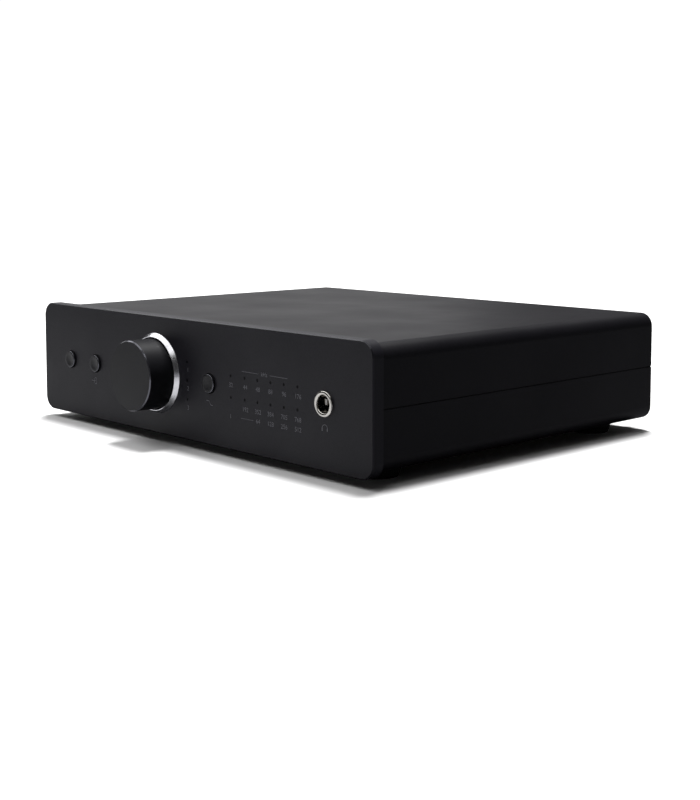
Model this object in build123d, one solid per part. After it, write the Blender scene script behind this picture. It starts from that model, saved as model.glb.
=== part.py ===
"""Desktop digital-to-analogue converter: a half-width case with a volume knob, three push buttons,
a headphone socket and a rear panel of sockets. Millimetres, +Z up, the front faces -Y,
and the origin is on the supporting surface under the middle of the unit."""
from build123d import *
import math
import os

# Front plate
WIDTH = 215.0
PLATE_LOW, PLATE_TOP = 3.5, 52.0
PLATE_CORNER = 6.0
FACE_Y = -83.0
PLATE_BACK = -78.0
MID_Z = (PLATE_LOW + PLATE_TOP) / 2
EDGE_CHAMFER = 0.4

# Case shells
CASE_HALF = 106.0
CASE_LOW, CASE_TOP = 5.0, 50.5
CASE_CORNER = 5.5
CASE_BACK = 85.0
SHEET = 1.5
SEAM_GAP = 0.5
FLOOR_Z = CASE_LOW + SHEET
INNER_HALF = CASE_HALF - SHEET
PANEL_FRONT = CASE_BACK - 1.5
REAR_MOST = 95.8

# Volume control
KNOB_X, KNOB_Z = -20.2, 28.1
KNOB_R = 14.4
KNOB_FRONT, KNOB_BACK = -95.8, -82.6
RING_R, RING_TOP_R, RING_BORE_R = 16.6, 15.25, 15.0
RING_FRONT = FACE_Y - 1.7
RING_SEAT = FACE_Y + 1.2
SHAFT_R = 3.0
RUNNING = 0.06
GRUB_Y = -90.9

# Push buttons: name and place across the front
BUTTONS = {"standby": -85.15, "source": -65.2, "filter": 16.0}
BUTTON_R = 3.65
BUTTON_PROUD = 1.0
STEM_R = 1.6
STEM_END = -72.6

# Status lights behind pin holes
RATE_X = [29.5] + [38.0 + 7.6 * i for i in range(5)]
RATE_Z = [32.2, 23.8]
FILTER_LED_X = 1.5
FILTER_LED_Z = [34.9, 27.4, 19.8]
PIN_HOLE_R = 0.58
PIN_R = 0.5
LED_PLACES = [(x, z) for z in RATE_Z for x in RATE_X] + [(FILTER_LED_X, z) for z in FILTER_LED_Z]

# Headphone socket, for a 6.35 mm plug
JACK_X, JACK_Z = 82.8, 27.7
JACK_BORE = 3.25
JACK_BODY_FRONT, JACK_BODY_BACK, JACK_BORE_END = -76.8, -50.0, -53.5

# Sheet bracket and circuit board behind the plate
BRACKET_BACK = PLATE_BACK + 1.2
BOARD_FRONT, BOARD_BACK = -68.0, -66.4
FRONT_BOARD_SCREWS = [(x, z) for x in (-45.0, 66.0) for z in (13.0, 43.0)]
PLATE_SCREWS = [(x, z) for x in (-97.0, 97.0) for z in (13.0, 43.0)]

# Main board
BOARD_LOW, BOARD_TOP = 12.0, 13.6
STANDOFFS = [(x, y) for x in (-90.0, 90.0) for y in (-50.0, 8.0, 57.0)]

# Feet
FEET = {"front_left": (-88.0, -62.0), "front_right": (88.0, -62.0),
        "rear_left": (-88.0, 66.0), "rear_right": (88.0, 66.0)}
FOOT_R = 9.0
BRACKET_SCREW_X = (-60.0, 60.0)
BRACKET_SCREW_Y = -71.5

# Rear sockets: places across the rear panel
XLR = {"left": 56.0, "right": 84.0}
XLR_CAVITY_R = 8.0
XLR_PIN_ANGLES = (150.0, 30.0, 270.0)
LINE_X = {"left": 33.0, "right": 18.0}
COAX_X = (-30.0, -60.0)
RCA_Z = 24.0
RCA_R = 4.15
RCA_NECK_R = 3.75
COLLAR_END = CASE_BACK + 1.2
USB_X = 1.5
USB_Z = BOARD_TOP + 5.4
OPTICAL_X = (-16.0, -46.0)
OPTICAL_Z = BOARD_TOP + 5.2
HINGE_Y = 84.4
HINGE_DZ = 3.75
DOOR_PIN_R = 0.3
DC_X, DC_Z = -73.5, 21.0
SWITCH_X = -89.0
PIVOT_Y = 80.5
ROCKER_R = 8.6
REAR_SCREWS = [(x, z) for x in (-99.8, 99.8) for z in (11.2, 44.6)]


def block(x0, x1, y0, y1, z0, z1):
    """A box between two corners."""
    return Pos((x0 + x1) / 2, (y0 + y1) / 2, (z0 + z1) / 2) * Box(x1 - x0, y1 - y0, z1 - z0)


def rod(x, z, radius, y0, y1):
    """A cylinder along Y."""
    return Pos(x, (y0 + y1) / 2, z) * Rot(90, 0, 0) * Cylinder(radius, y1 - y0)


def post(x, y, radius, z0, z1):
    """A cylinder along Z."""
    return Pos(x, y, (z0 + z1) / 2) * Cylinder(radius, z1 - z0)


def slab(x, width, z0, z1, y0, y1, radius):
    """A plate across X and Z with rounded corners, from y0 to y1."""
    plane = Plane(origin=(x, y0, (z0 + z1) / 2), x_dir=(1, 0, 0), z_dir=(0, 1, 0))
    return extrude(plane * RectangleRounded(width, z1 - z0, radius), y1 - y0)


def turned(x, z, points):
    """A solid of revolution about a front-to-back axis. Points are (radius, y)."""
    return Pos(x, 0, z) * revolve(make_face(Polyline(*points, close=True)), Axis.Y)


def hexagon(x, z, across_flats, y0, y1):
    """A hexagonal prism along Y."""
    plane = Plane(origin=(x, y0, z), x_dir=(1, 0, 0), z_dir=(0, 1, 0))
    return extrude(plane * RegularPolygon(across_flats / 2, 6, major_radius=False), y1 - y0)


def group(shapes):
    """Several separate solids kept together as one node."""
    return Compound([solid for shape in shapes for solid in shape.solids()])


def save(name, shape):
    export_step(shape, f"parts/{name}.step")


def pan_screw(length, shank_r=1.2, head_r=2.75, head_h=1.8):
    """A pan-head screw along Z with its head above z = 0, and a cross recess."""
    recess_w, recess_l, recess_d = 0.7, 3.0, 1.0
    head = fillet(Cylinder(head_r, head_h).edges().sort_by(Axis.Z)[-1], 0.9)
    head = Pos(0, 0, head_h / 2) * head
    cross = Box(recess_l, recess_w, recess_d) + Box(recess_w, recess_l, recess_d)
    shank = Pos(0, 0, -length / 2) * Cylinder(shank_r, length)
    return head + shank - Pos(0, 0, head_h - recess_d / 2 + 0.01) * cross


FACING_BACK = Rot(-90, 0, 0)
FACING_DOWN = Rot(180, 0, 0)


# Enclosure ----------------------------------------------------------------------------

def front_panel():
    plate = slab(0, WIDTH, PLATE_LOW, PLATE_TOP, FACE_Y, PLATE_BACK, PLATE_CORNER)
    front_edges = plate.faces().sort_by(Axis.Y)[0].edges()
    plate = chamfer(front_edges, EDGE_CHAMFER)
    plate -= rod(KNOB_X, KNOB_Z, RING_R + 0.03, FACE_Y - 1, RING_SEAT)
    plate -= rod(KNOB_X, KNOB_Z, 8.0, FACE_Y, PLATE_BACK + 1)
    hole_r = BUTTON_R + RUNNING
    for x in BUTTONS.values():
        plate -= turned(x, MID_Z, [(0, FACE_Y - 1), (hole_r + 1.3, FACE_Y - 1), (hole_r, FACE_Y + 0.3),
                                   (hole_r, PLATE_BACK + 1), (0, PLATE_BACK + 1)])
    for x, z in LED_PLACES:
        plate -= rod(x, z, PIN_HOLE_R, FACE_Y - 1, PLATE_BACK + 1)
    plate -= rod(JACK_X, JACK_Z, 4.2, FACE_Y - 1, PLATE_BACK + 1)
    for x, z in PLATE_SCREWS:
        plate -= rod(x, z, 1.25, PLATE_BACK - 3.8, PLATE_BACK + 1)
    return plate


def case_half(z0, z1):
    """The part of the case's tube of sheet that lies between two heights."""
    outer = slab(0, 2 * CASE_HALF, CASE_LOW, CASE_TOP, PLATE_BACK, CASE_BACK, CASE_CORNER)
    inner = slab(0, 2 * INNER_HALF, FLOOR_Z, CASE_TOP - SHEET, PLATE_BACK - 1, CASE_BACK + 1,
                 CASE_CORNER - SHEET)
    return (outer - inner) & block(-WIDTH, WIDTH, PLATE_BACK - 2, CASE_BACK + 2, z0, z1)


def rear_boss(x, z, z0, z1):
    """A tapped block in a corner of the case, for a rear panel screw. It follows the case's round
    corner and is sunk a tenth of a millimetre into the sheet."""
    side = math.copysign(1, x)
    x_in, x_out = sorted((side * 95.9, side * (INNER_HALF + 0.1)))
    boss = block(x_in, x_out, 71.0, PANEL_FRONT, z0, z1) - rod(x, z, 1.25, 70, PANEL_FRONT + 1)
    return boss & slab(0, 2 * (INNER_HALF + 0.1), FLOOR_Z - 0.1, CASE_TOP - SHEET + 0.1, 70, PANEL_FRONT + 1,
                       CASE_CORNER - SHEET + 0.1)


def top_cover():
    cover = case_half(MID_Z + SEAM_GAP / 2, CASE_TOP)
    for x, z in REAR_SCREWS:
        if z > MID_Z:
            cover += rear_boss(x, z, z - 3.6, CASE_TOP - SHEET + 0.1)
    return cover


def bottom_chassis():
    lip_gap = 0.1
    lip_t = 1.2
    chassis = case_half(CASE_LOW, MID_Z - SEAM_GAP / 2)
    for side in (-1, 1):
        lip = sorted((side * (INNER_HALF - lip_gap - lip_t), side * (INNER_HALF - lip_gap)))
        weld = sorted((side * (INNER_HALF - lip_gap - 0.2), side * (INNER_HALF + 0.4)))
        chassis += block(*lip, BRACKET_BACK + 0.3, PANEL_FRONT - 0.2, 20, 33)
        chassis += block(*weld, BRACKET_BACK + 0.3, PANEL_FRONT - 0.2, 20, MID_Z - SEAM_GAP / 2)
    for x, z in REAR_SCREWS:
        if z < MID_Z:
            chassis += rear_boss(x, z, FLOOR_Z - 0.1, z + 3.6)
    for x, y in FEET.values():
        chassis -= post(x, y, 1.6, CASE_LOW - 1, FLOOR_Z + 1)
    for x in BRACKET_SCREW_X:
        chassis -= post(x, BRACKET_SCREW_Y, 1.6, CASE_LOW - 1, FLOOR_Z + 1)
    slot_w, slot_l, slot_pitch = 2.2, 22.0, 7.0
    slot = extrude(SlotOverall(slot_l, slot_w, rotation=90), SHEET + 2)
    for row_y in (-20.0, 25.0):
        for i in range(11):
            chassis -= Pos((i - 5) * slot_pitch, row_y, CASE_LOW - 1) * slot
    return chassis


def rear_panel():
    panel = slab(0, 2 * (INNER_HALF - 0.1), FLOOR_Z + 0.1, CASE_TOP - SHEET - 0.1, PANEL_FRONT, CASE_BACK,
                 CASE_CORNER - SHEET - 0.1)
    through = (PANEL_FRONT - 1, CASE_BACK + 1)
    for x, z in REAR_SCREWS:
        panel -= rod(x, z, 1.6, *through)
    for x in XLR.values():
        panel -= rod(x, MID_Z, 11.9, *through)
        for sx, sz in ((-1, 1), (1, -1)):
            panel -= rod(x + 9.5 * sx, MID_Z + 12 * sz, 1.3, *through)
    for x in (*LINE_X.values(), *COAX_X):
        panel -= rod(x, RCA_Z, 5.7, *through)
    panel -= block(USB_X - 6.2, USB_X + 6.2, *through, USB_Z - 5.6, USB_Z + 5.6)
    for x in OPTICAL_X:
        panel -= block(x - 5.1, x + 5.1, *through, OPTICAL_Z - 5.2, OPTICAL_Z + 5.2)
    panel -= rod(DC_X, DC_Z, 4.6, *through)
    panel -= block(SWITCH_X - 6.6, SWITCH_X + 6.6, *through, MID_Z - 9.6, MID_Z + 9.6)
    return panel


def front_bracket():
    """Sheet frame that holds the plate, the encoder and the front board."""
    bracket = slab(0, 206.0, FLOOR_Z + 0.1, CASE_TOP - SHEET - 0.3, PLATE_BACK, BRACKET_BACK, 2.5)
    flange_top = FLOOR_Z + 1.2
    bracket += block(-90, 90, PLATE_BACK, -67.5, FLOOR_Z, flange_top)
    bracket -= rod(KNOB_X, KNOB_Z, 3.6, PLATE_BACK - 1, BRACKET_BACK + 1)
    for x in BUTTONS.values():
        bracket -= rod(x, MID_Z, 5.2, PLATE_BACK - 1, BRACKET_BACK + 1)
    bracket -= block(RATE_X[0] - 3, RATE_X[-1] + 3, PLATE_BACK - 1, BRACKET_BACK + 1, 19.5, 36.5)
    bracket -= block(FILTER_LED_X - 3, FILTER_LED_X + 3, PLATE_BACK - 1, BRACKET_BACK + 1, 15.5, 39.2)
    bracket -= rod(JACK_X, JACK_Z, 4.2, PLATE_BACK - 1, BRACKET_BACK + 1)
    for x, z in PLATE_SCREWS:
        bracket -= rod(x, z, 1.6, PLATE_BACK - 1, BRACKET_BACK + 1)
    for x, z in FRONT_BOARD_SCREWS:
        bracket += rod(x, z, 2.5, BRACKET_BACK - 0.2, BOARD_FRONT)
        bracket -= rod(x, z, 1.25, BRACKET_BACK + 1.5, BOARD_FRONT + 1)
    for x in BRACKET_SCREW_X:
        bracket -= post(x, BRACKET_SCREW_Y, 1.25, FLOOR_Z - 1, flange_top + 1)
    return bracket


def foot(x, y):
    """Rubber foot with a pocket for its screw."""
    profile = [(1.7, 3.2), (1.7, CASE_LOW), (FOOT_R, CASE_LOW), (FOOT_R, 3.6), (FOOT_R - 1.2, 0),
               (4.2, 0), (3.8, 3.2)]
    return Pos(x, y, 0) * revolve(make_face(Plane.XZ * Polyline(*profile, close=True)), Axis.Z)


def enclosure():
    save("front_panel", front_panel())
    save("front_bracket", front_bracket())
    save("top_cover", top_cover())
    save("bottom_chassis", bottom_chassis())
    save("rear_panel", rear_panel())
    for name, (x, y) in FEET.items():
        save(f"foot_{name}", foot(x, y))
    foot_screw = FACING_DOWN * pan_screw(6.5, shank_r=1.45)
    save("foot_screws", group([Pos(x, y, 3.2) * foot_screw for x, y in FEET.values()]))
    case_screw = FACING_DOWN * pan_screw(4.5)
    save("case_screws", group([Pos(x, BRACKET_SCREW_Y, CASE_LOW) * case_screw for x in BRACKET_SCREW_X]))
    plate_screw = FACING_BACK * pan_screw(4.6)
    save("front_panel_screws", group([Pos(x, BRACKET_BACK, z) * plate_screw for x, z in PLATE_SCREWS]))


# Volume control -----------------------------------------------------------------------

def volume_knob():
    """Turned cup with a central boss, bored for the shaft."""
    cavity_end, boss_r, wall_r = -89.0, 6.5, 12.6
    knob = turned(KNOB_X, KNOB_Z, [
        (0, KNOB_FRONT), (KNOB_R - EDGE_CHAMFER, KNOB_FRONT), (KNOB_R, KNOB_FRONT + EDGE_CHAMFER),
        (KNOB_R, KNOB_BACK), (wall_r, KNOB_BACK), (wall_r, cavity_end), (boss_r, cavity_end),
        (boss_r, KNOB_BACK), (SHAFT_R + 0.02, KNOB_BACK), (SHAFT_R + 0.02, -92.6), (0, -92.6)])
    return knob - post(KNOB_X, GRUB_Y, 1.55, KNOB_Z - KNOB_R - 1, KNOB_Z)


def knob_grub_screw():
    screw = post(KNOB_X, GRUB_Y, 1.5, KNOB_Z - 8.5, KNOB_Z - SHAFT_R)
    socket = extrude(RegularPolygon(0.75, 6, major_radius=False), 1.6)
    return screw - Pos(KNOB_X, GRUB_Y, KNOB_Z - 8.6) * socket


def knob_ring():
    return turned(KNOB_X, KNOB_Z, [
        (RING_BORE_R, RING_SEAT), (RING_R, RING_SEAT), (RING_R, FACE_Y - 0.15), (RING_TOP_R, RING_FRONT),
        (RING_BORE_R, RING_FRONT)])


def encoder_body():
    bush_front, body_front = -81.4, -75.0
    body = block(KNOB_X - 6, KNOB_X + 6, body_front, BOARD_FRONT, KNOB_Z - 6.5, KNOB_Z + 6.5)
    body += rod(KNOB_X, KNOB_Z, 3.5, bush_front, body_front)
    return body - rod(KNOB_X, KNOB_Z, SHAFT_R + RUNNING, bush_front - 1, -71.5)


def volume_control():
    save("volume_knob", volume_knob())
    save("knob_grub_screw", knob_grub_screw())
    save("encoder_shaft", rod(KNOB_X, KNOB_Z, SHAFT_R, -92.6, -71.7))
    save("knob_ring", knob_ring())
    save("encoder_body", encoder_body())
    nut = hexagon(KNOB_X, KNOB_Z, 10.0, -80.6, PLATE_BACK) - rod(KNOB_X, KNOB_Z, 3.55, -82, -77)
    save("encoder_nut", nut)


# Push buttons -------------------------------------------------------------------------

def push_button(x):
    """Cap with a shallow dish, a hidden retaining collar and a stem."""
    front = FACE_Y - BUTTON_PROUD
    collar_front, collar_back = PLATE_BACK + 0.05, PLATE_BACK + 1.05
    return turned(x, MID_Z, [
        (0, front + 0.25), (BUTTON_R - 0.9, front), (BUTTON_R - 0.3, front), (BUTTON_R, front + 0.3),
        (BUTTON_R, collar_front), (4.6, collar_front), (4.6, collar_back), (STEM_R, collar_back),
        (STEM_R, STEM_END), (0, STEM_END)])


def push_buttons():
    switches = []
    for name, x in BUTTONS.items():
        save(f"{name}_button", push_button(x))
        save(f"{name}_plunger", rod(x, MID_Z, 1.7, STEM_END, -70.2))
        body = block(x - 3, x + 3, -71.4, BOARD_FRONT, MID_Z - 3, MID_Z + 3)
        switches.append(body - rod(x, MID_Z, 1.78, -73, -69.4))
    save("tact_switches", group(switches))


# Status lights and front board --------------------------------------------------------

def light_guide():
    """Clear bars with a pin for each hole in the plate."""
    bar = (-77.6, -76.0)
    guides = []
    for z in RATE_Z:
        guide = block(RATE_X[0] - 1.5, RATE_X[-1] + 1.5, *bar, z - 1.5, z + 1.5)
        for x in RATE_X:
            guide += rod(x, z, PIN_R, FACE_Y + 0.15, bar[0] + 0.2)
        guides.append(guide)
    guide = block(FILTER_LED_X - 1.5, FILTER_LED_X + 1.5, *bar, FILTER_LED_Z[-1] - 2, FILTER_LED_Z[0] + 2)
    for z in FILTER_LED_Z:
        guide += rod(FILTER_LED_X, z, PIN_R, FACE_Y + 0.15, bar[0] + 0.2)
    return group(guides + [guide])


def front_board():
    board = block(-93, 93, BOARD_FRONT, BOARD_BACK, 9.0, 46.0)
    board -= block(JACK_X - 6.8, JACK_X + 6.8, BOARD_FRONT - 1, BOARD_BACK + 1, JACK_Z - 6.8, JACK_Z + 6.8)
    for x, z in FRONT_BOARD_SCREWS:
        board -= rod(x, z, 1.6, BOARD_FRONT - 1, BOARD_BACK + 1)
    return board


def front_electronics():
    save("front_board", front_board())
    save("light_guide", light_guide())
    leds = [block(x - 0.8, x + 0.8, BOARD_FRONT - 0.7, BOARD_FRONT, z - 0.5, z + 0.5) for x, z in LED_PLACES]
    save("status_leds", group(leds))


# Headphone socket ---------------------------------------------------------------------

def headphone_bezel():
    """Plated bush whose flange shows on the plate."""
    rim_r, rim_front = 4.75, FACE_Y - 0.9
    return turned(JACK_X, JACK_Z, [
        (JACK_BORE, JACK_BODY_FRONT), (4.1, JACK_BODY_FRONT), (4.1, FACE_Y), (rim_r, FACE_Y),
        (rim_r, rim_front + 0.35), (rim_r - 0.35, rim_front), (JACK_BORE + 0.45, rim_front),
        (JACK_BORE, rim_front + 0.45)])


def headphone_socket():
    body = block(JACK_X - 6.5, JACK_X + 6.5, JACK_BODY_FRONT, JACK_BODY_BACK, JACK_Z - 6.5, JACK_Z + 6.5)
    body -= rod(JACK_X, JACK_Z, JACK_BORE, JACK_BODY_FRONT - 1, JACK_BORE_END)
    return chamfer(body.edges().filter_by(Axis.Y).filter_by(GeomType.LINE), 1.0)


def headphone():
    save("headphone_bezel", headphone_bezel())
    save("headphone_socket", headphone_socket())
    tails = []
    for sx in (-1, 1):
        for z in (JACK_Z - 4, JACK_Z + 4):
            x = JACK_X + 4.0 * sx
            tails.append(block(x - 0.6, x + 0.6, JACK_BODY_BACK, JACK_BODY_BACK + 2.5, z - 0.2, z + 0.2))
    save("headphone_contacts", group(tails))


# Rear sockets -------------------------------------------------------------------------

def xlr_housing(x):
    """Three-pin balanced output: a flange outside the panel and a round cup."""
    flange_back = CASE_BACK + 2.2
    cup_end = 62.5
    housing = slab(x, 26.0, MID_Z - 15.5, MID_Z + 15.5, CASE_BACK, flange_back, 3.0)
    housing += rod(x, MID_Z, 11.5, cup_end, CASE_BACK + 0.5)
    housing += rod(x, MID_Z, 9.6, CASE_BACK, flange_back + 0.9)
    housing -= rod(x, MID_Z, XLR_CAVITY_R, 75.0, flange_back + 2)
    for sx, sz in ((-1, 1), (1, -1)):
        housing -= rod(x + 9.5 * sx, MID_Z + 12 * sz, 1.6, CASE_BACK - 1, flange_back + 1)
    for angle in XLR_PIN_ANGLES:
        housing -= xlr_pin(x, angle, 1.25)
    return housing


def xlr_pin(x, angle, radius):
    reach = 4.9
    a = math.radians(angle)
    return rod(x + reach * math.cos(a), MID_Z + reach * math.sin(a), radius, 68.0, 86.0)


def rca_barrel(x):
    """Plated outer contact ring of a phono socket."""
    root = PANEL_FRONT + 0.3
    return turned(x, RCA_Z, [(3.4, root), (RCA_NECK_R, root), (RCA_NECK_R, COLLAR_END), (RCA_R, COLLAR_END),
                             (RCA_R, REAR_MOST - 0.3), (RCA_R - 0.3, REAR_MOST), (3.4, REAR_MOST)])


def rca_insulator(x):
    """Coloured centre with the hole for the plug's pin."""
    return turned(x, RCA_Z, [(0, PANEL_FRONT + 0.3), (3.35, PANEL_FRONT + 0.3), (3.35, REAR_MOST - 0.8),
                             (1.65, REAR_MOST - 0.8), (1.65, REAR_MOST - 9.8), (0, REAR_MOST - 9.8)])


def rca_housing(x):
    """Moulded body on the board, with a collar through the panel."""
    body = block(x - 5, x + 5, 71.0, PANEL_FRONT - 0.1, BOARD_TOP, RCA_Z + 6)
    body += rod(x, RCA_Z, 5.6, PANEL_FRONT - 1, COLLAR_END)
    return body - rod(x, RCA_Z, RCA_NECK_R + 0.05, PANEL_FRONT + 0.3, CASE_BACK + 3)


def usb_shell():
    """Folded sheet shell of a type B data socket."""
    back, mouth, wall = 70.0, CASE_BACK + 1.2, 0.4
    outer = block(USB_X - 6, USB_X + 6, back, mouth, USB_Z - 5.4, USB_Z + 5.4)
    return outer - block(USB_X - 6 + wall, USB_X + 6 - wall, back + wall, mouth + 1, USB_Z - 5.4 + wall,
                         USB_Z + 5.4 - wall)


def usb_insert():
    """Moulded insert: the socket's opening and its tongue."""
    mouth = CASE_BACK + 0.9
    half_w, half_h, corner = 4.25, 3.9, 1.6
    body = block(USB_X - 5.6, USB_X + 5.6, 70.4, mouth, USB_Z - 5.0, USB_Z + 5.0)
    opening = block(USB_X - half_w, USB_X + half_w, 76.5, mouth + 1, USB_Z - half_h, USB_Z + half_h)
    top_edges = opening.edges().filter_by(Axis.Y).sort_by(Axis.Z)[-2:]
    body -= chamfer(top_edges, corner)
    return body + block(USB_X - 2.8, USB_X + 2.8, 76.0, mouth - 1.0, USB_Z - 1.6, USB_Z + 1.6)


def optical_socket(x):
    """Optical input with a spring door behind its mouth."""
    z = OPTICAL_Z
    body = block(x - 5.0, x + 5.0, 71.5, CASE_BACK + 0.7, z - 5.2, z + 5.1)
    body -= block(x - 3.25, x + 3.25, 84.0, CASE_BACK + 2, z - 3.25, z + 3.25)
    body -= block(x - 3.55, x + 3.55, 76.2, CASE_BACK, z - 3.4, z + 4.4)
    for side in (-1, 1):
        x_in, x_out = sorted((x + side * 3.4, x + side * 4.05))
        pin_x = Pos((x_in + x_out) / 2, HINGE_Y, z + HINGE_DZ) * Rot(0, 90, 0)
        body -= pin_x * Cylinder(DOOR_PIN_R + 0.05, x_out - x_in)
    return body


def optical_door(x):
    z = OPTICAL_Z
    door = block(x - 3.4, x + 3.4, HINGE_Y - 0.35, HINGE_Y + 0.3, z - 3.3, z + HINGE_DZ + 0.25)
    pin = Pos(x, HINGE_Y, z + HINGE_DZ) * Rot(0, 90, 0) * Cylinder(DOOR_PIN_R, 7.9)
    return door + pin


def dc_socket():
    body = block(DC_X - 4.5, DC_X + 4.5, 71.0, PANEL_FRONT - 0.1, BOARD_TOP, DC_Z + 5)
    body += rod(DC_X, DC_Z, 4.5, PANEL_FRONT - 1, CASE_BACK + 0.6)
    return body - rod(DC_X, DC_Z, 3.0, 74.5, CASE_BACK + 2)


def dc_pin():
    pin = rod(DC_X, DC_Z, 1.05, 74.5, CASE_BACK - 0.4)
    return fillet(pin.edges().sort_by(Axis.Y)[-1], 0.6)


def switch_housing():
    """Frame of the power rocker: bezel outside, box inside, pivot holes in its cheeks."""
    bezel_back = CASE_BACK + 1.6
    housing = slab(SWITCH_X, 15.2, MID_Z - 10.8, MID_Z + 10.8, CASE_BACK, bezel_back, 1.5)
    housing += block(SWITCH_X - 6.5, SWITCH_X + 6.5, 68.0, CASE_BACK + 0.5, MID_Z - 9.5, MID_Z + 9.5)
    swept = Pos(SWITCH_X, PIVOT_Y, MID_Z) * Rot(0, 90, 0) * Cylinder(ROCKER_R + 0.3, 10.6)
    pivot = Pos(SWITCH_X, PIVOT_Y, MID_Z) * Rot(0, 90, 0) * Cylinder(1.05, 12.0)
    return housing - swept - pivot


def rocker():
    """Rocker with a shallow vee front, drawn with its upper end pressed in."""
    tilt, vee_y, end_y = 8.0, 6.0, 6.9
    profile = make_face(Plane.YZ * Polyline((end_y, -7), (vee_y, 0), (end_y, 7), (-3.5, 6), (-3.5, -6),
                                            close=True))
    body = extrude(profile, 5.1, both=True)
    body &= Rot(0, 90, 0) * Cylinder(ROCKER_R, 10.2)
    body += Rot(0, 90, 0) * Cylinder(1.0, 11.8)
    return Pos(SWITCH_X, PIVOT_Y, MID_Z) * Rot(tilt, 0, 0) * body


def rear_sockets():
    pins, screws = [], []
    rear_screw = FACING_BACK * pan_screw(7.0)
    for name, x in XLR.items():
        save(f"xlr_{name}_housing", xlr_housing(x))
        pins += [xlr_pin(x, angle, 1.2) for angle in XLR_PIN_ANGLES]
        for sx, sz in ((-1, 1), (1, -1)):
            screws.append(Pos(x + 9.5 * sx, CASE_BACK + 2.2, MID_Z + 12 * sz) * rear_screw)
    screws += [Pos(x, CASE_BACK, z) * rear_screw for x, z in REAR_SCREWS]
    save("xlr_pins", group(pins))
    save("rear_panel_screws", group(screws))
    phono_x = [*LINE_X.values(), *COAX_X]
    save("rca_barrels", group([rca_barrel(x) for x in phono_x]))
    save("rca_housings", group([rca_housing(x) for x in phono_x]))
    for name, x in LINE_X.items():
        save(f"line_{name}_insulator", rca_insulator(x))
    save("coax_insulators", group([rca_insulator(x) for x in COAX_X]))
    save("usb_shell", usb_shell())
    save("usb_insert", usb_insert())
    for number, x in enumerate(OPTICAL_X, start=1):
        save(f"optical_{number}_socket", optical_socket(x))
        save(f"optical_{number}_door", optical_door(x))
    save("dc_socket", dc_socket())
    save("dc_pin", dc_pin())
    save("power_switch_housing", switch_housing())
    save("power_rocker", rocker())


# Main board and what stands on it -----------------------------------------------------

def main_board():
    board = block(-96, 96, -60, PANEL_FRONT - 0.3, BOARD_LOW, BOARD_TOP)
    for x, y in STANDOFFS:
        board -= post(x, y, 1.6, BOARD_LOW - 1, BOARD_TOP + 1)
    for x, z in REAR_SCREWS:
        if z < MID_Z:
            side = math.copysign(1, x)
            x_in, x_out = sorted((side * 95.4, side * 97))
            board -= block(x_in, x_out, 70.5, CASE_BACK, BOARD_LOW - 1, BOARD_TOP + 1)
    return board


def standoff(x, y):
    body = extrude(RegularPolygon(2.75, 6, major_radius=False), BOARD_LOW - FLOOR_Z)
    return Pos(x, y, FLOOR_Z) * (body - Cylinder(1.25, 40))


def on_board(x, y, size_x, size_y, height):
    """A part's body standing on the main board."""
    return block(x - size_x / 2, x + size_x / 2, y - size_y / 2, y + size_y / 2, BOARD_TOP, BOARD_TOP + height)


def can(x, y, radius, height):
    """An aluminium capacitor can with the rolled neck near its base."""
    neck = 0.5
    profile = [(0, 0), (radius, 0), (radius, 2), (radius - neck, 2.8), (radius, 3.6), (radius, height), (0, height)]
    return Pos(x, y, BOARD_TOP) * revolve(make_face(Plane.XZ * Polyline(*profile, close=True)), Axis.Z)


def integrated_circuits():
    chips = [on_board(x, 28, 9, 9, 1.2) for x in (44, 72)]
    chips += [on_board(-4, 4, 14, 14, 1.4), on_board(2, 46, 12, 12, 1.4)]
    chips += [on_board(x, 44, 5, 4, 1.6) for x in (36, 46, 56, 68, 78, 86)]
    chips += [on_board(x, 22, 7, 5, 1.8) for x in (-10, 6)]
    chips += [on_board(x, 30, 10, 9, 4.4) for x in (-72, -58)]
    return group(chips)


def heatsink():
    """Extruded fins on the supply regulators."""
    base = block(-84, -50, 34.8, 37.8, BOARD_TOP, BOARD_TOP + 20)
    for i in range(7):
        x = -83.0 + 5.2 * i
        base += block(x - 0.6, x + 0.6, 37, 48, BOARD_TOP, BOARD_TOP + 20)
    return base


def ribbon_cable():
    """Flat cable: straight back from the front board, one bend, then down to the main board."""
    half_w, thick, bend_r = 9.5, 0.8, 5.0
    start_y, centre_y, top_z = -61.4, -52.0, 26.5
    bend_z = top_z - bend_r
    run = block(-60 - half_w, -60 + half_w, start_y, centre_y, top_z - thick / 2, top_z + thick / 2)
    plane = Plane(origin=(-60 - half_w, centre_y, bend_z), x_dir=(0, 1, 0), z_dir=(1, 0, 0))
    ring = Circle(bend_r + thick / 2) - Circle(bend_r - thick / 2)
    quarter = ring & (Pos(bend_r, bend_r) * Rectangle(2 * bend_r, 2 * bend_r))
    bend = extrude(plane * quarter, 2 * half_w)
    drop_y = centre_y + bend_r
    drop = block(-60 - half_w, -60 + half_w, drop_y - thick / 2, drop_y + thick / 2, BOARD_TOP + 5.4, bend_z)
    return run + bend + drop


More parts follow.
